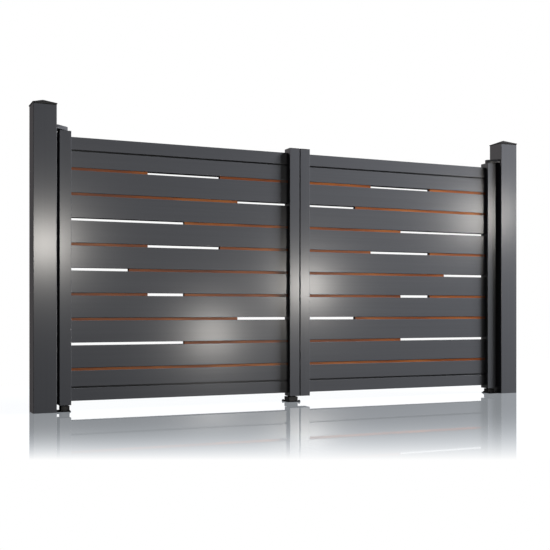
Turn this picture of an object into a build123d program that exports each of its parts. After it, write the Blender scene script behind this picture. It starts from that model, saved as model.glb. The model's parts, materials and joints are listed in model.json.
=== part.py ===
"""Double-leaf swing driveway gate with its posts, closed.

Two square posts carry two leaves. Each leaf is a frame of two stiles and two rails, filled with wide
horizontal boards. The slots between the boards hold wood-look strips, and part of most slots is left open.
Each leaf turns on a pin in a floor pivot and a pin under a bracket at the top of its post.

X runs along the driveway opening, +Y into the property and +Z up. The origin is the centre of the left
post's foot, on the ground. All sizes are in millimetres.
"""
import os
from math import hypot

from build123d import *

# Opening and posts
CLEAR_OPENING = 3500.0  # between the posts' inner faces
POST_WIDTH = 150.0
POST_WALL = 4.0
POST_CORNER = 3.0  # outer corner radius
POST_FOOT_PLATE = 10.0  # plate welded in the foot, flush with its end
POST_ABOVE_BRACKET = 127.0

# Post cap: a rim on the post's end, a low pyramid and a hollow plug in the post's bore
CAP_OVERHANG = 3.0
CAP_RIM = 7.0
CAP_RISE = 28.0
CAP_TIP = 8.0  # width of the small flat on the pyramid
CAP_SKIN = 3.0
CAP_PLUG_DEPTH = 30.0
CAP_PLUG_CLEARANCE = 0.5
CAP_PLUG_BEVEL = 4.0

# Leaf: stiles, as deep as from their front faces to the panel's back
HINGE_STILE_WIDTH = 77.0
CLOSING_STILE_WIDTH = 77.0
STILE_SETBACK = 39.0  # from the posts' front faces to the stiles'
STILE_WALL = 3.0
STILE_CORNER = 2.5
STILE_BELOW_RAIL = 24.0
STILE_ABOVE_RAIL = 32.5

# Leaf: panel between the stiles, from rail to rail
PANEL_THICKNESS = 60.0
PANEL_SETBACK = 31.0  # from the stiles' front faces to the panel's
RAIL_HEIGHT = 83.0
BOARD_HEIGHT = 146.0
END_BOARD_HEIGHT = 104.5  # first and last board, without the lip
BOARD_COUNT = 10
SLOT_HEIGHT = 18.5  # between boards, and the height of a strip
GROOVE_HEIGHT = 11.0  # between an end board and its rail
GROOVE_DEPTH = 10.0
EXTRUSION_WALL = 2.0
EXTRUSION_CORNER = 1.5
STRIP_SETBACK = 1.5  # from the boards' front faces to the strips'
STRIP_DEPTH = 34.0

# Open stretch of each slot row from the top down, as parts of the panel's width from the hinge side
OPEN_STRETCHES = [
    (1 / 3, 2 / 3),
    (3 / 4, 1),
    (0, 1 / 2),
    (1 / 3, 2 / 3),
    (0, 1 / 4),
    (1 / 3, 1 / 2),
    (3 / 4, 1),
    (0, 1 / 2),
    None,
]

# Gaps round a leaf
GROUND_GAP = 41.0  # under the stiles
SWING_GAP = 5.55  # from a post to the stile's back corner as it swings past
SEAM_GAP = 6.5  # between the closing stiles
RUNNING_GAP = 5.0  # from a leaf to the bracket above and the fittings below

# Hinge pins and the bushes that turn on them
PIVOT_SETBACK = 47.5  # from the stiles' front faces to the pivot axis, a little behind their middle
FOOT_PIN_RADIUS = 10.0
TOP_PIN_RADIUS = 8.0
PIN_REACH = 30.0  # into the bush
PIN_CLEARANCE = 0.5
BUSH_LENGTH = 40.0
BUSH_FIT = 0.1  # round the bush in the stile's bore
COLLAR_RADIUS = 18.0  # thrust collar round each pin
COLLAR_GAP = 0.5

# Top bracket
BRACKET_THICKNESS = 26.0
BRACKET_MARGIN = 12.0  # from the post's sides to the bracket's
BRACKET_ROOT_DEPTH = 10.0
BRACKET_NOSE_RADIUS = 24.0
BRACKET_EDGE = 2.0

# Floor pivot and centre stop: a block on a base plate with a bolt hole at each corner
BASE_PLATE = 6.0
BASE_CORNER = 6.0
BLOCK_CORNER = 4.0
BOLT_HOLE_RADIUS = 4.5
PIVOT_BLOCK_WIDTH = 58.0
PIVOT_BLOCK_DEPTH = 60.0
PIVOT_BLOCK_SETBACK = 6.0  # from the stiles' front faces to the block's
PIVOT_PLATE_DEPTH = 110.0
PIVOT_PLATE_EDGE = 4.0  # past the block, on the side away from the post
PIVOT_BOLT_INSET = 13.0
STOP_BLOCK_WIDTH = 73.0
STOP_BLOCK_DEPTH = 78.0
STOP_PLATE_WIDTH = 100.0
STOP_PLATE_DEPTH = 116.0
STOP_BOLT_INSET = 9.0
STOP_FROM_SEAM = 50.0

# Closing stile's end caps
END_CAP_THICKNESS = 3.0
END_CAP_PLUG = 20.0
END_CAP_CLEARANCE = 0.3
END_CAP_SKIN = 3.0

# Heights above the ground
STILE_FOOT_Z = GROUND_GAP
PANEL_FOOT_Z = STILE_FOOT_Z + STILE_BELOW_RAIL
INNER_BOARDS = BOARD_COUNT - 2
SLOT_COUNT = BOARD_COUNT - 1
PANEL_HEIGHT = (
    2 * (RAIL_HEIGHT + GROOVE_HEIGHT + END_BOARD_HEIGHT)
    + INNER_BOARDS * BOARD_HEIGHT
    + SLOT_COUNT * SLOT_HEIGHT
)
PANEL_TOP_Z = PANEL_FOOT_Z + PANEL_HEIGHT
STILE_TOP_Z = PANEL_TOP_Z + STILE_ABOVE_RAIL
STILE_LENGTH = STILE_TOP_Z - STILE_FOOT_Z
BRACKET_FOOT_Z = STILE_TOP_Z + RUNNING_GAP
BRACKET_TOP_Z = BRACKET_FOOT_Z + BRACKET_THICKNESS
POST_TOP_Z = BRACKET_TOP_Z + POST_ABOVE_BRACKET
FITTING_TOP_Z = STILE_FOOT_Z - RUNNING_GAP  # of the floor pivots' and the stop's blocks

# Places from front to back: the posts' centres are at Y = 0
STILE_FRONT_Y = STILE_SETBACK - POST_WIDTH / 2
PANEL_FRONT_Y = STILE_FRONT_Y + PANEL_SETBACK
PANEL_BACK_Y = PANEL_FRONT_Y + PANEL_THICKNESS
PANEL_Y = (PANEL_FRONT_Y + PANEL_BACK_Y) / 2
STRIP_Y = PANEL_FRONT_Y + STRIP_SETBACK + STRIP_DEPTH / 2
STILE_DEPTH = PANEL_BACK_Y - STILE_FRONT_Y
STILE_Y = (STILE_FRONT_Y + PANEL_BACK_Y) / 2  # the stop's place too
PIVOT_Y = STILE_FRONT_Y + PIVOT_SETBACK
PIVOT_BLOCK_Y = STILE_FRONT_Y + PIVOT_BLOCK_SETBACK + PIVOT_BLOCK_DEPTH / 2

# Places along the opening, for the left half. The pivot axis stands so far from the post that the stile's
# rounded back corner, which swings nearest to it, clears it.
POST_FACE_X = POST_WIDTH / 2
SEAM_X = POST_FACE_X + CLEAR_OPENING / 2
CORNER_X = HINGE_STILE_WIDTH / 2 - STILE_CORNER
CORNER_Y = PANEL_BACK_Y - PIVOT_Y - STILE_CORNER
PIVOT_X = POST_FACE_X + SWING_GAP + hypot(CORNER_X, CORNER_Y) + STILE_CORNER
PANEL_START_X = PIVOT_X + HINGE_STILE_WIDTH / 2
PANEL_END_X = SEAM_X - SEAM_GAP / 2 - CLOSING_STILE_WIDTH
PANEL_WIDTH = PANEL_END_X - PANEL_START_X
CLOSING_STILE_X = PANEL_END_X + CLOSING_STILE_WIDTH / 2
STOP_X = SEAM_X - STOP_FROM_SEAM


def tube_section(width, depth, wall, corner):
    """Hollow section with rounded outer corners, centred."""
    bore_corner = max(corner - wall, wall / 4)
    bore = RectangleRounded(width - 2 * wall, depth - 2 * wall, bore_corner)
    return RectangleRounded(width, depth, corner) - bore


def upright(section, x, y, z, length):
    """Section drawn in X and Y, standing from height z."""
    return Pos(x, y, z) * extrude(section, amount=length)


def crosswise(section, x, y, z, length):
    """Section drawn with Y across and Z up, run along X from x and centred on y and z."""
    return Pos(x, y, z) * extrude(Plane.YZ * section, amount=length)


def post():
    """Square post with a plate welded in its foot."""
    shaft = upright(tube_section(POST_WIDTH, POST_WIDTH, POST_WALL, POST_CORNER), 0, 0, 0, POST_TOP_Z)
    plate_width = POST_WIDTH - 2 * POST_WALL
    return shaft + upright(Rectangle(plate_width, plate_width), 0, 0, 0, POST_FOOT_PLATE)


def pyramid(width, tip, foot_z, rise):
    """Low pyramid with a small flat on top."""
    base = Pos(0, 0, foot_z) * Rectangle(width, width)
    flat = Pos(0, 0, foot_z + rise) * Rectangle(tip, tip)
    return loft([base, flat])


def post_cap():
    """Moulded cap: rim and pyramid over the post's end, hollow below, with a plug in the bore."""
    width = POST_WIDTH + 2 * CAP_OVERHANG
    rim_top_z = POST_TOP_Z + CAP_RIM
    cap = upright(RectangleRounded(width, width, POST_CORNER), 0, 0, POST_TOP_Z, CAP_RIM)
    cap += pyramid(width - 2 * CAP_OVERHANG, CAP_TIP, rim_top_z, CAP_RISE)
    plug_width = POST_WIDTH - 2 * (POST_WALL + CAP_PLUG_CLEARANCE)
    plug = Rectangle(plug_width, plug_width)
    plug = chamfer(plug.vertices(), CAP_PLUG_BEVEL)
    cap += upright(plug, 0, 0, POST_TOP_Z - CAP_PLUG_DEPTH, CAP_PLUG_DEPTH)
    hollow_width = plug_width - 2 * CAP_SKIN
    hollow_height = CAP_PLUG_DEPTH + CAP_RIM - CAP_SKIN
    cap -= upright(Rectangle(hollow_width, hollow_width), 0, 0, POST_TOP_Z - CAP_PLUG_DEPTH, hollow_height)
    return cap


def top_bracket():
    """Tapered plate on the post's inner face, with a round nose, a thrust collar and a pin."""
    root_width = POST_WIDTH - 2 * BRACKET_MARGIN
    root = Pos(POST_FACE_X + BRACKET_ROOT_DEPTH / 2, 0) * Rectangle(BRACKET_ROOT_DEPTH, root_width)
    nose = Pos(PIVOT_X, PIVOT_Y) * Circle(BRACKET_NOSE_RADIUS)
    outline = make_hull(root.edges() + nose.edges())
    bracket = upright(outline, 0, 0, BRACKET_FOOT_Z, BRACKET_THICKNESS)
    top_edges = bracket.edges().group_by(Axis.Z)[-1].sort_by(Axis.X)[1:]
    bracket = chamfer(top_edges, BRACKET_EDGE)
    collar_length, pin_length = RUNNING_GAP - COLLAR_GAP, RUNNING_GAP + PIN_REACH
    bracket += upright(Circle(COLLAR_RADIUS), PIVOT_X, PIVOT_Y, BRACKET_FOOT_Z - collar_length, collar_length)
    return bracket + upright(Circle(TOP_PIN_RADIUS), PIVOT_X, PIVOT_Y, BRACKET_FOOT_Z - pin_length, pin_length)


def bolt_holes(x, y, plate_width, plate_depth, inset):
    """A hole near each corner of a base plate centred on x and y."""
    reach_x, reach_y = plate_width / 2 - inset, plate_depth / 2 - inset
    return [
        upright(Circle(BOLT_HOLE_RADIUS), x + side_x * reach_x, y + side_y * reach_y, 0, BASE_PLATE)
        for side_x in (-1, 1)
        for side_y in (-1, 1)
    ]


def floor_pivot():
    """Base plate from the post's face out, a block under the hinge stile, a thrust collar and a pin."""
    plate_width = PIVOT_X + PIVOT_BLOCK_WIDTH / 2 + PIVOT_PLATE_EDGE - POST_FACE_X
    plate_x = POST_FACE_X + plate_width / 2
    pivot = upright(Rectangle(plate_width, PIVOT_PLATE_DEPTH), plate_x, PIVOT_BLOCK_Y, 0, BASE_PLATE)
    pivot = fillet(pivot.edges().filter_by(Axis.Z).group_by(Axis.X)[-1], BASE_CORNER)
    block = RectangleRounded(PIVOT_BLOCK_WIDTH, PIVOT_BLOCK_DEPTH, BLOCK_CORNER)
    pivot += upright(block, PIVOT_X, PIVOT_BLOCK_Y, BASE_PLATE, FITTING_TOP_Z - BASE_PLATE)
    pivot += upright(Circle(COLLAR_RADIUS), PIVOT_X, PIVOT_Y, FITTING_TOP_Z, RUNNING_GAP - COLLAR_GAP)
    pivot += upright(Circle(FOOT_PIN_RADIUS), PIVOT_X, PIVOT_Y, FITTING_TOP_Z, RUNNING_GAP + PIN_REACH)
    for hole in bolt_holes(plate_x, PIVOT_BLOCK_Y, plate_width, PIVOT_PLATE_DEPTH, PIVOT_BOLT_INSET):
        pivot -= hole
    return pivot


def centre_stop():
    """Base plate and block on the ground under the left leaf's closing stile."""
    plate = RectangleRounded(STOP_PLATE_WIDTH, STOP_PLATE_DEPTH, BASE_CORNER)
    block = RectangleRounded(STOP_BLOCK_WIDTH, STOP_BLOCK_DEPTH, BLOCK_CORNER)
    stop = upright(plate, STOP_X, STILE_Y, 0, BASE_PLATE)
    stop += upright(block, STOP_X, STILE_Y, BASE_PLATE, FITTING_TOP_Z - BASE_PLATE)
    for hole in bolt_holes(STOP_X, STILE_Y, STOP_PLATE_WIDTH, STOP_PLATE_DEPTH, STOP_BOLT_INSET):
        stop -= hole
    return stop


def hinge_stile():
    section = tube_section(HINGE_STILE_WIDTH, STILE_DEPTH, STILE_WALL, STILE_CORNER)
    return upright(section, PIVOT_X, STILE_Y, STILE_FOOT_Z, STILE_LENGTH)


def closing_stile():
    """Stile cut short at both ends by the thickness of its caps' lids."""
    section = tube_section(CLOSING_STILE_WIDTH, STILE_DEPTH, STILE_WALL, STILE_CORNER)
    foot_z = STILE_FOOT_Z + END_CAP_THICKNESS
    return upright(section, CLOSING_STILE_X, STILE_Y, foot_z, STILE_LENGTH - 2 * END_CAP_THICKNESS)


def bush(pin_radius, foot_z):
    """Solid plug in the hinge stile's bore, bored for a pin on the pivot axis."""
    inset = 2 * (STILE_WALL + BUSH_FIT)
    plug = Rectangle(HINGE_STILE_WIDTH - inset, STILE_DEPTH - inset)
    plug = chamfer(plug.vertices(), STILE_WALL / 2)
    plug -= Pos(0, PIVOT_Y - STILE_Y) * Circle(pin_radius + PIN_CLEARANCE)
    return upright(plug, PIVOT_X, STILE_Y, foot_z, BUSH_LENGTH)


def closing_stile_caps():
    """Moulded cap in each end of the closing stile: a lid on the end and a plug in the bore."""
    lid = RectangleRounded(CLOSING_STILE_WIDTH, STILE_DEPTH, STILE_CORNER)
    inset = 2 * (STILE_WALL + END_CAP_CLEARANCE)
    plug_width, plug_depth = CLOSING_STILE_WIDTH - inset, STILE_DEPTH - inset
    plug = Rectangle(plug_width, plug_depth)
    plug = chamfer(plug.vertices(), STILE_WALL / 2)
    plug -= Rectangle(plug_width - 2 * END_CAP_SKIN, plug_depth - 2 * END_CAP_SKIN)
    x, y = CLOSING_STILE_X, STILE_Y
    top_lid_z = STILE_TOP_Z - END_CAP_THICKNESS
    top = upright(lid, x, y, top_lid_z, END_CAP_THICKNESS)
    top += upright(plug, x, y, top_lid_z - END_CAP_PLUG, END_CAP_PLUG)
    foot = upright(lid, x, y, STILE_FOOT_Z, END_CAP_THICKNESS)
    foot += upright(plug, x, y, STILE_FOOT_Z + END_CAP_THICKNESS, END_CAP_PLUG)
    return Compound(children=[top, foot])


def rail(centre_z):
    section = tube_section(PANEL_THICKNESS, RAIL_HEIGHT, EXTRUSION_WALL, EXTRUSION_CORNER)
    return crosswise(section, PANEL_START_X, PANEL_Y, centre_z, PANEL_WIDTH)


def board(height, centre_z, lip_side=0):
    """Hollow board. An end board has a recessed hollow lip above (1) or below (-1), up to its rail."""
    section = tube_section(PANEL_THICKNESS, height, EXTRUSION_WALL, EXTRUSION_CORNER)
    if lip_side:
        lip_depth = PANEL_THICKNESS - 2 * GROOVE_DEPTH
        bore = Rectangle(lip_depth - 2 * EXTRUSION_WALL, GROOVE_HEIGHT - EXTRUSION_WALL)
        lip = Rectangle(lip_depth, GROOVE_HEIGHT) - Pos(0, -lip_side * EXTRUSION_WALL / 2) * bore
        section += Pos(0, lip_side * (height + GROOVE_HEIGHT) / 2) * lip
    return crosswise(section, PANEL_START_X, PANEL_Y, centre_z, PANEL_WIDTH)


def board_places():
    """Height, centre and lip side of each board from the top down."""
    top_z = PANEL_TOP_Z - RAIL_HEIGHT - GROOVE_HEIGHT
    places = []
    for number in range(BOARD_COUNT):
        lip_side = {0: 1, BOARD_COUNT - 1: -1}.get(number, 0)
        height = END_BOARD_HEIGHT if lip_side else BOARD_HEIGHT
        places.append((height, top_z - height / 2, lip_side))
        top_z -= height + SLOT_HEIGHT
    return places


def strips():
    """Wood-look bars that fill each slot row but for its open stretch."""
    section = Rectangle(STRIP_DEPTH, SLOT_HEIGHT)
    bars = []
    for (height, centre_z, _), open_stretch in zip(board_places(), OPEN_STRETCHES):
        slot_z = centre_z - height / 2 - SLOT_HEIGHT / 2
        start, end = open_stretch or (1, 1)
        for bar_start, bar_end in ((0, start), (end, 1)):
            if bar_end > bar_start:
                x = PANEL_START_X + bar_start * PANEL_WIDTH
                bars.append(crosswise(section, x, STRIP_Y, slot_z, (bar_end - bar_start) * PANEL_WIDTH))
    return Compound(children=bars)


def leaf():
    """The left leaf's pieces by name."""
    pieces = {
        "hinge_stile": hinge_stile(),
        "closing_stile": closing_stile(),
        "top_rail": rail(PANEL_TOP_Z - RAIL_HEIGHT / 2),
        "bottom_rail": rail(PANEL_FOOT_Z + RAIL_HEIGHT / 2),
        "strips": strips(),
        "top_bush": bush(TOP_PIN_RADIUS, STILE_TOP_Z - BUSH_LENGTH),
        "foot_bush": bush(FOOT_PIN_RADIUS, STILE_FOOT_Z),
        "closing_stile_caps": closing_stile_caps(),
    }
    for number, (height, centre_z, lip_side) in enumerate(board_places(), start=1):
        pieces[f"board_{number}"] = board(height, centre_z, lip_side)
    return pieces


def post_set():
    """The left post and what is fixed to it or beside it, by name."""
    return {
        "post": post(),
        "post_cap": post_cap(),
        "top_bracket": top_bracket(),
        "floor_pivot": floor_pivot(),
    }


def main():
    os.makedirs("parts", exist_ok=True)
    middle = Plane.YZ.offset(SEAM_X)
    for name, piece in {**post_set(), **leaf()}.items():
        export_step(piece, f"parts/left_{name}.step")
        export_step(mirror(piece, about=middle), f"parts/right_{name}.step")
    export_step(centre_stop(), "parts/centre_stop.step")


main()
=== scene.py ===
"""Looks of a double-leaf swing driveway gate between two capped posts, seen from the street side.

Everything is in metres. X runs along the opening, +Y into the property and +Z up, from the middle of the
left post's foot on the ground.
"""
import json
import math

import bmesh
import bpy
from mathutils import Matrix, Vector


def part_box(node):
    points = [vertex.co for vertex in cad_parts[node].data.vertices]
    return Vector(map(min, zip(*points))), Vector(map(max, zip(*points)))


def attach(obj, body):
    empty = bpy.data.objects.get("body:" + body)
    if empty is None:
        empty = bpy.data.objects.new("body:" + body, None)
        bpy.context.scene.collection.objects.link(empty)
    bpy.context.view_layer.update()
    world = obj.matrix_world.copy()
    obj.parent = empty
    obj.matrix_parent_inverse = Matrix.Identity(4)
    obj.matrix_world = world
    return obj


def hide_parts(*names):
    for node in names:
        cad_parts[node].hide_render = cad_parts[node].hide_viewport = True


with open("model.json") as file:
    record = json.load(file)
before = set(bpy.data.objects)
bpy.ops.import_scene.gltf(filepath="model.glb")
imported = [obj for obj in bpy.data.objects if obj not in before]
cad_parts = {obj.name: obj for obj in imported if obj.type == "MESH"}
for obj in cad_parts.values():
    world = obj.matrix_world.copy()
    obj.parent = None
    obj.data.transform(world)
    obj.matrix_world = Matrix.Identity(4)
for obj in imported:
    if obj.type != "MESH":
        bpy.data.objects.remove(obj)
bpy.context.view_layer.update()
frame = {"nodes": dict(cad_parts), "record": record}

# Posts: square aluminium tube, powder-coated satin anthracite after cutting and welding. The coat has a fine
# orange peel, and the drawn metal under it shows as faint streaks along each profile.
LEAVES = ("left", "right")
COAT_COLOUR = (0.0532, 0.0552, 0.0615)
COAT_STREAK_COLOUR = (0.0560, 0.0581, 0.0647)
COAT_ROUGHNESS = 0.216
COAT_ROUGHNESS_SPREAD = 0.02
COAT_GLOSS = 0.0875
COAT_CLOUDS_PER_METRE = 3
STREAKS_PER_METRE = 70
STREAK_DETAIL = 3
STREAK_SCALE_ALONG = 0.012  # as a share of the scale across the profile
STREAKS_FROM = 0.3  # noise value where the streak colour starts to show
STREAKS_TO = 0.75
STREAK_ROUGHNESS_SHARE = 0.4
CLOUD_ROUGHNESS_SHARE = 0.6
STREAK_HEIGHT_SHARE = 0.15
PEEL_PER_METRE = 420
PEEL_HEIGHT = 0.00002
NOISE_MIDDLE = 0.5
FACING_BLEND = 0.5
GLOSS_FADES_FROM = 0.3  # share of the way from a square look at a surface to an edge-on one
GLOSS_FADES_TO = 0.8


class Field:
    """A value, vector, colour or shape in a node tree, as a socket that works in Python's arithmetic."""

    def __init__(self, tree, socket=None):
        self.tree = tree
        self.socket = socket

    def node(self, kind, settings=None, inputs=None, output=0):
        """A new node: its settings, a ramp's stops among them, and then its sockets' values or links."""
        made = self.tree.nodes.new(kind)
        for name, value in (settings or {}).items():
            if name == "stops":
                elements = made.color_ramp.elements
                while len(elements) < len(value):
                    elements.new(0.5)
                for element, (place, colour) in zip(elements, value):
                    element.position = place
                    element.color = (*colour, 1)
            else:
                setattr(made, name, value)
        for name, value in (inputs or {}).items():
            for given in value if isinstance(value, list) else [value]:
                if isinstance(given, Field):
                    self.tree.links.new(given.socket, made.inputs[name])
                else:
                    made.inputs[name].default_value = given
        return Field(self.tree, made.outputs[output] if made.outputs else None)

    def maths(self, operation, first, second=0.0):
        return self.node("ShaderNodeMath", {"operation": operation}, {0: first, 1: second})

    def __add__(self, other):
        return self.maths("ADD", self, other)

    def __radd__(self, other):
        return self.maths("ADD", other, self)

    def __sub__(self, other):
        return self.maths("SUBTRACT", self, other)

    def __rsub__(self, other):
        return self.maths("SUBTRACT", other, self)

    def __mul__(self, other):
        return self.maths("MULTIPLY", self, other)

    def __rmul__(self, other):
        return self.maths("MULTIPLY", other, self)

    def __truediv__(self, other):
        return self.maths("DIVIDE", self, other)

    def __pow__(self, other):
        return self.maths("POWER", self, other)

    def __abs__(self):
        return self.maths("ABSOLUTE", self)

    def at_least(self, limit):
        return self.maths("MAXIMUM", self, limit)

    def at_most(self, limit):
        return self.maths("MINIMUM", self, limit)

    def eased(self, low, high):
        """0 below low, 1 above high and a smooth step between."""
        limits = {"Value": self, "From Min": low, "From Max": high}
        return self.node("ShaderNodeMapRange", {"interpolation_type": "SMOOTHSTEP"}, limits)


def new_material(name):
    """An empty material, and the field that its nodes are made from."""
    material = bpy.data.materials.new(name)
    material.use_nodes = True
    material.node_tree.nodes.clear()
    return material, Field(material.node_tree)


def noise(shader, per_metre, scale=(1, 1, 1), detail=2.0, distortion=0.0):
    """Cloudy value from 0 to 1 that changes per_metre times a metre, with each axis scaled."""
    point = shader.node("ShaderNodeTexCoord", output="Object")
    point = shader.node("ShaderNodeMapping", {}, {"Vector": point, "Scale": scale})
    inputs = {"Vector": point, "Scale": per_metre, "Detail": detail, "Distortion": distortion}
    return shader.node("ShaderNodeTexNoise", {}, inputs, output="Fac")


def mixed(shader, share, first, second):
    """A colour between two others."""
    colours = {"Factor": share, 6: (*first, 1), 7: (*second, 1)}
    return shader.node("ShaderNodeMix", {"data_type": "RGBA"}, colours, output=2)


def bumped(shader, height, distance):
    return shader.node("ShaderNodeBump", {}, {"Height": height, "Distance": distance})


def satin(shader, colour, roughness, normal, gloss):
    """Ends a material in a surface whose gloss fades where it is seen edge on, as a lacquer's haze does."""
    finish = {"Base Color": colour, "Roughness": roughness, "Normal": normal, "Specular IOR Level": gloss}
    glossy = shader.node("ShaderNodeBsdfPrincipled", {}, finish)
    matt = shader.node("ShaderNodeBsdfDiffuse", {}, {"Color": colour, "Normal": normal})
    edge_on = shader.node("ShaderNodeLayerWeight", {}, {"Blend": FACING_BLEND}, output="Facing")
    faded = edge_on.eased(GLOSS_FADES_FROM, GLOSS_FADES_TO)
    surface = shader.node("ShaderNodeMixShader", {}, {0: faded, 1: glossy, 2: matt})
    shader.node("ShaderNodeOutputMaterial", {}, {"Surface": surface})


def powder_coat(name, streak_scale):
    """Satin anthracite coat on a profile drawn along the axis that streak_scale shortens."""
    material, shader = new_material(name)
    streaks = noise(shader, STREAKS_PER_METRE, streak_scale, STREAK_DETAIL)
    clouds = noise(shader, COAT_CLOUDS_PER_METRE)
    peel = noise(shader, PEEL_PER_METRE)
    colour = mixed(shader, streaks.eased(STREAKS_FROM, STREAKS_TO), COAT_COLOUR, COAT_STREAK_COLOUR)
    uneven = streaks * STREAK_ROUGHNESS_SHARE + clouds * CLOUD_ROUGHNESS_SHARE - NOISE_MIDDLE
    roughness = COAT_ROUGHNESS + uneven * COAT_ROUGHNESS_SPREAD
    height = peel + streaks * STREAK_HEIGHT_SHARE
    satin(shader, colour, roughness, bumped(shader, height, PEEL_HEIGHT), COAT_GLOSS)
    return material


def coat_nodes(material, *names):
    """Puts a material on CAD nodes."""
    for name in names:
        for place in frame["nodes"][name].material_slots:
            place.material = material


coat_upright = powder_coat("anthracite_coat_on_uprights", (1, 1, STREAK_SCALE_ALONG))
for leaf in LEAVES:
    coat_nodes(coat_upright, f"{leaf}_post")

# Post caps: moulded black plastic lids with a rim and a low pyramid, pushed into the posts' ends. The mould
# was spark-eroded, so they have a fine even grain, and their edges are slightly round.
FIXED_BODY = "posts_and_fittings"
PLASTIC_COLOUR = (0.0105, 0.0105, 0.0110)
PLASTIC_GREY = (0.0145, 0.0145, 0.0150)
PLASTIC_ROUGHNESS = 0.42
PLASTIC_ROUGHNESS_SPREAD = 0.12
PLASTIC_GLOSS = 0.1
PLASTIC_CLOUDS_PER_METRE = 12
PLASTIC_EDGE = 0.0008
GRAIN_PER_METRE = 900
GRAIN_HEIGHT = 0.00004
EDGE_STEPS = 3
JOIN_WITHIN = 0.00001
FLAT_WITHIN = math.radians(0.5)
SHARP_FROM = math.radians(40)


def black_plastic():
    material, shader = new_material("grained_black_plastic")
    grain = noise(shader, GRAIN_PER_METRE)
    clouds = noise(shader, PLASTIC_CLOUDS_PER_METRE)
    colour = mixed(shader, clouds, PLASTIC_COLOUR, PLASTIC_GREY)
    roughness = PLASTIC_ROUGHNESS + (clouds - NOISE_MIDDLE) * PLASTIC_ROUGHNESS_SPREAD
    satin(shader, colour, roughness, bumped(shader, grain, GRAIN_HEIGHT), PLASTIC_GLOSS)
    return material


def plain_mesh(piece, name):
    """The mesh that a piece's modifiers make, and the piece itself is removed."""
    evaluated = piece.evaluated_get(bpy.context.evaluated_depsgraph_get())
    mesh = bpy.data.meshes.new_from_object(evaluated)
    mesh.name = name
    bpy.data.objects.remove(piece)
    return mesh


def placed(name, mesh, body):
    """A finished piece that rides on a body and takes its finish from a slot."""
    piece = bpy.data.objects.new(name, mesh)
    bpy.context.collection.objects.link(piece)
    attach(piece, body)
    return piece


def rounded(node, radius, material, body):
    """Stands for a CAD node: the same shape with its sharp edges rounded."""
    joined = bmesh.new()
    joined.from_mesh(frame["nodes"][node].data)
    bmesh.ops.remove_doubles(joined, verts=joined.verts, dist=JOIN_WITHIN)
    bmesh.ops.dissolve_limit(joined, angle_limit=FLAT_WITHIN, verts=joined.verts, edges=joined.edges)
    sharp_mesh = bpy.data.meshes.new(node)
    joined.to_mesh(sharp_mesh)
    joined.free()
    sharp_mesh.materials.clear()
    sharp_mesh.materials.append(material)
    sharp_mesh.shade_smooth()
    blank = bpy.data.objects.new(node, sharp_mesh)
    bpy.context.collection.objects.link(blank)
    edges = blank.modifiers.new("rounded_edges", "BEVEL")
    edges.width = radius
    edges.segments = EDGE_STEPS
    edges.limit_method = "ANGLE"
    edges.angle_limit = SHARP_FROM
    edges.use_clamp_overlap = False
    edges.harden_normals = True
    piece = placed(f"{node}_with_round_edges", plain_mesh(blank, f"{node}_rounded"), body)
    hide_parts(node)


plastic = black_plastic()
for leaf in LEAVES:
    rounded(f"{leaf}_post_cap", PLASTIC_EDGE, plastic, FIXED_BODY)

# Top brackets: tapered steel plates over the hinge stiles, with the upper hinge pins under their noses. A
# rippled bead joins each to its post above and on both sides, and the coat covers both.
BRACKET_EDGE = 0.0008
BRACKET_BEAD = 0.0025
BEAD_ABOVE_STILE = BRACKET_BEAD * 3  # so that the leaf swings clear of the bead
BEAD_SIDES = 12
RIPPLES = {"Ripple Pitch": 0.0024, "Ripple Depth": 0.09, "Step": 0.0006}


def grown(name, corners, edges, sizes, material, grow):
    """The plain mesh that nodes grow from some corners and edges, with named sizes as the nodes' inputs."""
    tree = bpy.data.node_groups.new(name, "GeometryNodeTree")
    tree.interface.new_socket("Layout", in_out="INPUT", socket_type="NodeSocketGeometry")
    values = {}
    for size, value in sizes.items():
        socket = tree.interface.new_socket(size, in_out="INPUT", socket_type="NodeSocketFloat")
        values[socket.identifier] = value
    finish = tree.interface.new_socket("Finish", in_out="INPUT", socket_type="NodeSocketMaterial")
    values[finish.identifier] = material
    tree.interface.new_socket("Shape", in_out="OUTPUT", socket_type="NodeSocketGeometry")
    start = Field(tree)

    def given(label):
        return start.node("NodeGroupInput", output=label)

    whole = start.node("GeometryNodeRealizeInstances", {}, {"Geometry": grow(start, given)})
    finished = {"Geometry": whole, "Material": given("Finish")}
    start.node("NodeGroupOutput", {}, {"Shape": start.node("GeometryNodeSetMaterial", {}, finished)})
    layout = bpy.data.meshes.new(f"{name}_layout")
    layout.from_pydata(corners, edges, [])
    seed = bpy.data.objects.new(name, layout)
    bpy.context.collection.objects.link(seed)
    modifier = seed.modifiers.new(name, "NODES")
    modifier.node_group = tree
    for identifier, value in values.items():
        modifier[identifier] = value
    mesh = plain_mesh(seed, name)
    mesh.shade_smooth()
    mesh.set_sharp_from_angle(angle=SHARP_FROM)
    return mesh


def bead(start, given):
    """Round bead along the layout's edges that swells once in every ripple."""
    line = start.node("GeometryNodeMeshToCurve", {}, {"Mesh": given("Layout")})
    step = {"Curve": line, "Length": given("Step")}
    line = start.node("GeometryNodeResampleCurve", {"mode": "LENGTH"}, step)
    along = start.node("GeometryNodeSplineParameter", output="Length")
    wave = start.maths("SINE", along * (2 * math.pi) / given("Ripple Pitch"))
    profile = {"Resolution": BEAD_SIDES, "Radius": given("Bead Radius")}
    ring = start.node("GeometryNodeCurvePrimitiveCircle", {}, profile, output="Curve")
    swell = 1 + wave * given("Ripple Depth")
    sweep = {"Curve": line, "Profile Curve": ring, "Scale": swell, "Fill Caps": True}
    return start.node("GeometryNodeCurveToMesh", {}, sweep)


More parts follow.
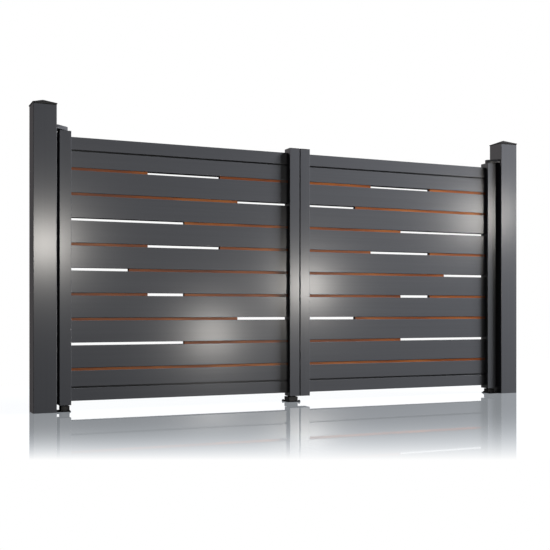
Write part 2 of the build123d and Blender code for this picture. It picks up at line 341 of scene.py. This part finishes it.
def weld(name, paths, radius, material):
    """One piece with a bead along each path of points."""
    corners, edges = [], []
    for path, closed in paths:
        first = len(corners)
        corners += path
        edges += [(first + n, first + n + 1) for n in range(len(path) - 1)]
        if closed:
            edges.append((first + len(path) - 1, first))
    beads = grown(name, corners, edges, {"Bead Radius": radius, **RIPPLES}, material, bead)
    placed(name, beads, FIXED_BODY)


bracket_paths = []
for leaf in LEAVES:
    rounded(f"{leaf}_top_bracket", BRACKET_EDGE, coat_upright, FIXED_BODY)
    low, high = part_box(f"{leaf}_top_bracket")
    post_face_x = low.x if leaf == "left" else high.x
    foot_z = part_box(f"{leaf}_hinge_stile")[1].z + BEAD_ABOVE_STILE
    sides = [(low.y, foot_z), (low.y, high.z), (high.y, high.z), (high.y, foot_z)]
    bracket_paths.append(([(post_face_x, y, z) for y, z in sides], False))
weld("bracket_welds", bracket_paths, BRACKET_BEAD, coat_upright)

# Floor pivots and centre stop: steel blocks welded to base plates, coated satin black. Four hexagon bolts on
# washers hold each to the ground.
STEEL_COLOUR = (0.0042, 0.0043, 0.0047)
STEEL_RUBBED_COLOUR = (0.0085, 0.0087, 0.0095)
STEEL_ROUGHNESS = 0.34
STEEL_ROUGHNESS_SPREAD = 0.2
STEEL_GLOSS = 0.03
STEEL_GRAIN_PER_METRE = 600
STEEL_GRAIN_HEIGHT = 0.00005
STEEL_EDGE = 0.0008
RUBBING_PER_METRE = 40
RUBBING_DETAIL = 5
RUBBED_FROM = 0.5  # noise value where the rubbed colour starts to show
RUBBED_TO = 0.8
BASE_PLATE = 0.006
PIVOT_BLOCK = (0.058, 0.060)
STOP_BLOCK = (0.073, 0.078)
BLOCK_CORNER = 0.004
CORNER_STEPS = 4
BLOCK_BEAD = 0.0022
MM_PER_METRE = 1000
HEXAGON = 6
WASHER_SIDES = 24
SHANK_SIDES = 16
BOLT_MOST_TURN = 1.0  # radians
BOLT_SIZES = {
    "Washer Radius": 0.0080,
    "Washer Height": 0.0016,
    "Head Radius": 0.0075,
    "Head Height": 0.0046,
    "Crown Height": 0.0007,
    "Crown Radius": 0.0064,
    "Shank Radius": 0.0040,
    "Plate": BASE_PLATE,
    "Turn Seed": 7,
}


def black_steel():
    material, shader = new_material("satin_black_steel")
    rubbed = noise(shader, RUBBING_PER_METRE, detail=RUBBING_DETAIL)
    grain = noise(shader, STEEL_GRAIN_PER_METRE)
    colour = mixed(shader, rubbed.eased(RUBBED_FROM, RUBBED_TO), STEEL_COLOUR, STEEL_RUBBED_COLOUR)
    roughness = STEEL_ROUGHNESS + (rubbed - NOISE_MIDDLE) * STEEL_ROUGHNESS_SPREAD
    satin(shader, colour, roughness, bumped(shader, grain + rubbed, STEEL_GRAIN_HEIGHT), STEEL_GLOSS)
    return material


def block_outline(centre, size):
    """Corners round a block with rounded corners, where it meets its base plate."""
    outline = []
    for quarter, (side_x, side_y) in enumerate(((1, 1), (-1, 1), (-1, -1), (1, -1))):
        x = centre.x + side_x * (size[0] / 2 - BLOCK_CORNER)
        y = centre.y + side_y * (size[1] / 2 - BLOCK_CORNER)
        for step in range(CORNER_STEPS + 1):
            turn = math.pi / 2 * (quarter + step / CORNER_STEPS)
            out_x, out_y = BLOCK_CORNER * math.cos(turn), BLOCK_CORNER * math.sin(turn)
            outline.append((x + out_x, y + out_y, BASE_PLATE))
    return outline


def raised(start, shape, height):
    lift = start.node("ShaderNodeCombineXYZ", {}, {"Z": height})
    return start.node("GeometryNodeTransform", {}, {"Geometry": shape, "Translation": lift})


def open_at(start, shape, end):
    """The shape without the faces of its end, which is Top or Bottom."""
    faces = {"Geometry": shape, "Selection": Field(start.tree, shape.socket.node.outputs[end])}
    return start.node("GeometryNodeDeleteGeometry", {"domain": "FACE"}, faces)


def bolts(start, given):
    """At each point of the layout, a washer, a hexagon head with a chamfered crown, and the shank."""

    def drum(sides, radius, depth, bottom):
        form = {"Vertices": sides, "Radius": given(radius), "Depth": given(depth)}
        return start.node("GeometryNodeMeshCylinder", {}, form), bottom + given(depth) / 2

    washer_top = given("Plate") + given("Washer Height")
    washer = raised(start, *drum(WASHER_SIDES, "Washer Radius", "Washer Height", given("Plate")))
    shank = raised(start, *drum(SHANK_SIDES, "Shank Radius", "Plate", 0.0))
    head, middle = drum(HEXAGON, "Head Radius", "Head Height", washer_top)
    head = raised(start, open_at(start, head, "Top"), middle)
    cone = {"Vertices": HEXAGON, "Radius Top": given("Crown Radius"), "Radius Bottom": given("Head Radius")}
    crown = start.node("GeometryNodeMeshCone", {}, {**cone, "Depth": given("Crown Height")})
    crown = raised(start, open_at(start, crown, "Bottom"), washer_top + given("Head Height"))
    head = start.node("GeometryNodeJoinGeometry", {}, {"Geometry": [head, crown]})
    head = start.node("GeometryNodeMergeByDistance", {}, {"Geometry": head, "Distance": JOIN_WITHIN})
    bolt = start.node("GeometryNodeJoinGeometry", {}, {"Geometry": [washer, shank, head]})
    turns = {3: BOLT_MOST_TURN, "Seed": given("Turn Seed")}
    turn = start.node("FunctionNodeRandomValue", {}, turns, output=1)
    turned = start.node("ShaderNodeCombineXYZ", {}, {"Z": turn})
    spots = {"Points": given("Layout"), "Instance": bolt, "Rotation": turned}
    return start.node("GeometryNodeInstanceOnPoints", {}, spots)


steel = black_steel()
block_paths, bolt_places = [], []
fittings = [(f"{leaf}_floor_pivot", f"{leaf}_hinge_stile", PIVOT_BLOCK) for leaf in LEAVES]
fittings.append(("centre_stop", "centre_stop", STOP_BLOCK))
for name, above, block in fittings:
    rounded(name, STEEL_EDGE, steel, FIXED_BODY)
    centre = sum(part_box(name), Vector()) / 2
    centre.x = sum(corner.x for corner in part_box(above)) / 2
    block_paths.append((block_outline(centre, block), True))
for mount in frame["record"]["mounts"]:
    if mount["kind"] == "bolt_pattern":
        x, y, _ = mount["pos_m"]
        reach_x, reach_y = (mount["dims"][f"spacing_{axis}_mm"] / MM_PER_METRE / 2 for axis in "xy")
        bolt_places += [(x + a * reach_x, y + b * reach_y, 0) for a in (-1, 1) for b in (-1, 1)]
weld("fitting_welds", block_paths, BLOCK_BEAD, steel)
bolt_mesh = grown("ground_bolts", bolt_places, [], BOLT_SIZES, steel, bolts)
placed("ground_bolts", bolt_mesh, FIXED_BODY)

# Leaf frames: aluminium tube, a hinge stile on one side of each panel and a closing stile on the other,
# coated as the posts are. Moulded caps close the closing stiles' ends, and bored plugs in the hinge stiles'
# ends turn on the pins.
for leaf in LEAVES:
    coat_nodes(coat_upright, f"{leaf}_hinge_stile", f"{leaf}_closing_stile")
    coat_nodes(plastic, f"{leaf}_top_bush", f"{leaf}_foot_bush")
    rounded(f"{leaf}_closing_stile_caps", PLASTIC_EDGE, plastic, f"{leaf}_leaf")

# Rails and boards: wide flat hollow extrusions between the stiles, in the same coat, with their streaks
# along the opening.
BOARD_COUNT = 10
coat_crosswise = powder_coat("anthracite_coat_on_boards", (STREAK_SCALE_ALONG, 1, 1))
for leaf in LEAVES:
    coat_nodes(coat_crosswise, f"{leaf}_top_rail", f"{leaf}_bottom_rail")
    coat_nodes(coat_crosswise, *(f"{leaf}_board_{number}" for number in range(1, BOARD_COUNT + 1)))

# Strips: wood-look composite bars that fill most of each slot between the boards, red brown with the grain
# along them.
WOOD_DARK = (0.045, 0.0102, 0.0037)
WOOD_RED = (0.138, 0.0350, 0.0080)
WOOD_ORANGE = (0.247, 0.0840, 0.0190)
WOOD_STOPS = [(0.3, WOOD_DARK), (0.5, WOOD_RED), (0.68, WOOD_ORANGE)]
WOOD_ROUGHNESS = 0.40
WOOD_ROUGHNESS_FALL = 0.10  # where the grain is at its highest
WOOD_GLOSS = 0.06
WOOD_GRAIN_PER_METRE = 260
WOOD_GRAIN_SCALE = (0.02, 1, 1)
WOOD_GRAIN_DETAIL = 4
WOOD_GRAIN_WAVER = 0.4
WOOD_GRAIN_HEIGHT = 0.0002
WOOD_GRAIN_SHARE = 0.45  # of the colour's change, and the tone has the rest
WOOD_TONE_SHARE = 0.55
WOOD_TONE_PER_METRE = 1.7
WOOD_TONE_SCALE = (1, 4, 6)


def wood_look():
    material, shader = new_material("red_brown_wood_look")
    grain = noise(shader, WOOD_GRAIN_PER_METRE, WOOD_GRAIN_SCALE, WOOD_GRAIN_DETAIL, WOOD_GRAIN_WAVER)
    tone = noise(shader, WOOD_TONE_PER_METRE, WOOD_TONE_SCALE)
    blend = grain * WOOD_GRAIN_SHARE + tone * WOOD_TONE_SHARE
    colour = shader.node("ShaderNodeValToRGB", {"stops": WOOD_STOPS}, {"Fac": blend})
    roughness = WOOD_ROUGHNESS - grain * WOOD_ROUGHNESS_FALL
    satin(shader, colour, roughness, bumped(shader, grain, WOOD_GRAIN_HEIGHT), WOOD_GLOSS)
    return material


wood = wood_look()
for leaf in LEAVES:
    coat_nodes(wood, f"{leaf}_strips")

# Camera: at the eye of someone sitting to the left of the left post and looking to the right, level, so that
# the posts stay upright in the picture. The view is shifted a little instead of tilted.
PICTURE_PIXELS = 550
FOCAL_PIXELS = 944.6
HORIZON_PIXEL = 310.48
CAMERA_PLACE = Vector((-1.1042, -6.2030, 0.6584))
CAMERA_HEADING = math.radians(23.893)  # from straight at the gate, to the right
SENSOR_MM = 36

camera_data = bpy.data.cameras.new("street_camera")
camera_data.sensor_width = SENSOR_MM
camera_data.lens = SENSOR_MM * FOCAL_PIXELS / PICTURE_PIXELS
camera_data.shift_y = HORIZON_PIXEL / PICTURE_PIXELS - 0.5
camera = bpy.data.objects.new("street_camera", camera_data)
camera.location = CAMERA_PLACE
camera.rotation_euler = (math.pi / 2, 0, -CAMERA_HEADING)
bpy.context.collection.objects.link(camera)
bpy.context.scene.camera = camera

# Studio light: a large soft lamp to the right of the gate and two behind it that light it less, of which the
# left one is warm. They give matt light only, so neither the coat nor the floor mirrors them.
LARGE_LAMPS = [
    ("key_lamp", (7.5, -2.2, 6.3), (1.9, 0, 1.0), 2.0, 2860, (1, 1, 1)),
    ("back_lamp", (6.5, 8.0, 4.0), (1.8, 0, 1.0), 3.0, 400, (1, 1, 1)),
    ("warm_back_lamp", (-14.0, 10.0, 8.0), (1.8, 0, 1.0), 4.0, 4250, (1.10, 1.0, 0.93)),
]


def soft_lamp(name, place, aim, width, watts, colour):
    """Square lamp that faces a point and that the camera doesn't see."""
    data = bpy.data.lights.new(name, "AREA")
    data.size = width
    data.energy = watts
    data.color = colour
    lamp = bpy.data.objects.new(name, data)
    lamp.location = place
    lamp.rotation_euler = (Vector(aim) - Vector(place)).to_track_quat("-Z", "Y").to_euler()
    lamp.visible_camera = False
    bpy.context.collection.objects.link(lamp)
    return lamp


for name, place, aim, width, watts, colour in LARGE_LAMPS:
    lamp = soft_lamp(name, place, aim, width, watts, colour)
    lamp.visible_glossy = False

# Highlights: four small warm lamps stand where the gate mirrors them to the camera, at these pixels of the
# picture. They give gloss only, and light everything but the floor, which would mirror them as spots.
# Each line below is a lamp's pixel, width and watts.
HIGHLIGHTS = [
    ((42.5, 244.6), 0.15, 166),
    ((211.4, 333.3), 0.13, 96),
    ((305.7, 286.9), 0.12, 131),
    ((478.9, 218.1), 0.36, 86),
]
HIGHLIGHT_COLOUR = (1.04, 1.0, 0.94)
HIGHLIGHT_DISTANCE = 5.0

panel_front_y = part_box("left_board_5")[0].y
right = Vector((math.cos(CAMERA_HEADING), -math.sin(CAMERA_HEADING), 0))
ahead = Vector((math.sin(CAMERA_HEADING), math.cos(CAMERA_HEADING), 0))
highlight_receivers = bpy.data.collections.new("not_lit_by_highlight_lamps")
for number, ((pixel_x, pixel_y), width, watts) in enumerate(HIGHLIGHTS, start=1):
    across = (pixel_x - PICTURE_PIXELS / 2) / FOCAL_PIXELS
    up = (HORIZON_PIXEL - pixel_y) / FOCAL_PIXELS
    ray = ahead + right * across + Vector((0, 0, up))
    on_gate = CAMERA_PLACE + ray * ((panel_front_y - CAMERA_PLACE.y) / ray.y)
    place = on_gate + Vector((ray.x, -ray.y, ray.z)).normalized() * HIGHLIGHT_DISTANCE
    lamp = soft_lamp(f"highlight_lamp_{number}", place, on_gate, width, watts, HIGHLIGHT_COLOUR)
    lamp.visible_diffuse = False
    lamp.light_linking.receiver_collection = highlight_receivers

# Room: a plain studio all round, white where the camera or a reflection sees it, and dim grey as a source of
# light.
ROOM_LEVEL = 0.03

world = bpy.data.worlds.new("studio")
world.use_nodes = True
world.node_tree.nodes.clear()
bpy.context.scene.world = world
room = Field(world.node_tree)


def background_rays(shader):
    """1 for the rays that see the backdrop itself, and 0 for those that light the object."""
    camera_ray = shader.node("ShaderNodeLightPath", output="Is Camera Ray")
    glossy_ray = shader.node("ShaderNodeLightPath", output="Is Glossy Ray")
    clear_ray = shader.node("ShaderNodeLightPath", output="Is Transmission Ray")
    return camera_ray + glossy_ray + clear_ray


strength = ROOM_LEVEL + background_rays(room) * (1 - ROOM_LEVEL)
sky = room.node("ShaderNodeBackground", {}, {"Color": (1, 1, 1, 1), "Strength": strength})
room.node("ShaderNodeOutputWorld", {}, {"Surface": sky})

# Floor: a white polished sheet that isn't part of the gate. It mirrors the gate most at its foot and fades
# to plain white in front of it and behind it.
# Near the gate its glowing white also carries a painted bluish reflection tint.
FLOOR_HALF = 40.0
MIRROR_AT_GATE = 0.80
MIRROR_ROUGHNESS = 0.03
MIRROR_REACH = 2.14  # at the left post
MIRROR_REACH_GROWTH = 0.443  # for each metre along the opening
MIRROR_REACH_LEAST = 0.5
MIRROR_REACH_MOST = 4.0
MIRROR_FADE_POWER = 3.7
# Painted reflection: the floor's glowing white turns this bluish colour where it mirrors the gate
PAINTED_REFLECTION_TINT = (0.90, 0.985, 1.07)
FLOOR_SHADE = 0.12
FLOOR_SHADE_COLOUR = (0.8, 0.8, 0.8, 1)
FLOOR_BOUNCE_COLOUR = (0.03, 0.03, 0.03, 1)


def polished_floor():
    material, shader = new_material("white_polished_floor")
    point = shader.node("ShaderNodeTexCoord", output="Object")
    x = shader.node("ShaderNodeSeparateXYZ", {}, {"Vector": point}, output="X")
    y = shader.node("ShaderNodeSeparateXYZ", {}, {"Vector": point}, output="Y")
    reach = MIRROR_REACH + x * MIRROR_REACH_GROWTH
    reach = reach.at_least(MIRROR_REACH_LEAST).at_most(MIRROR_REACH_MOST)
    nearness = (1 - (abs(y) / reach) ** MIRROR_FADE_POWER).at_least(0.0)
    shaded = shader.node("ShaderNodeBsdfDiffuse", {}, {"Color": FLOOR_SHADE_COLOUR})
    # Painted reflection: a bluish tint on the glowing white, strongest at the gate's foot and gone where the
    # mirror fades
    painted_tint = mixed(shader, nearness, (1, 1, 1), PAINTED_REFLECTION_TINT)
    white = shader.node("ShaderNodeEmission", {}, {"Color": painted_tint, "Strength": 1.0})
    paper = shader.node("ShaderNodeMixShader", {}, {0: nearness * FLOOR_SHADE, 1: white, 2: shaded})
    gloss = {"Color": (1, 1, 1, 1), "Roughness": MIRROR_ROUGHNESS}
    mirror = shader.node("ShaderNodeBsdfGlossy", {}, gloss)
    seen = shader.node("ShaderNodeMixShader", {}, {0: nearness * MIRROR_AT_GATE, 1: paper, 2: mirror})
    bounce = shader.node("ShaderNodeBsdfDiffuse", {}, {"Color": FLOOR_BOUNCE_COLOUR})
    both = shader.node("ShaderNodeMixShader", {}, {0: background_rays(shader), 1: bounce, 2: seen})
    shader.node("ShaderNodeOutputMaterial", {}, {"Surface": both})
    return material


sheet = bmesh.new()
bmesh.ops.create_grid(sheet, x_segments=1, y_segments=1, size=FLOOR_HALF)
floor_mesh = bpy.data.meshes.new("floor")
sheet.to_mesh(floor_mesh)
sheet.free()
floor_mesh.materials.append(polished_floor())
floor = bpy.data.objects.new("floor", floor_mesh)
bpy.context.collection.objects.link(floor)
highlight_receivers.objects.link(floor)
highlight_receivers.collection_objects[0].light_linking.link_state = "EXCLUDE"

# Picture: colours show about as they are written.
bpy.context.scene.view_settings.view_transform = "Standard"
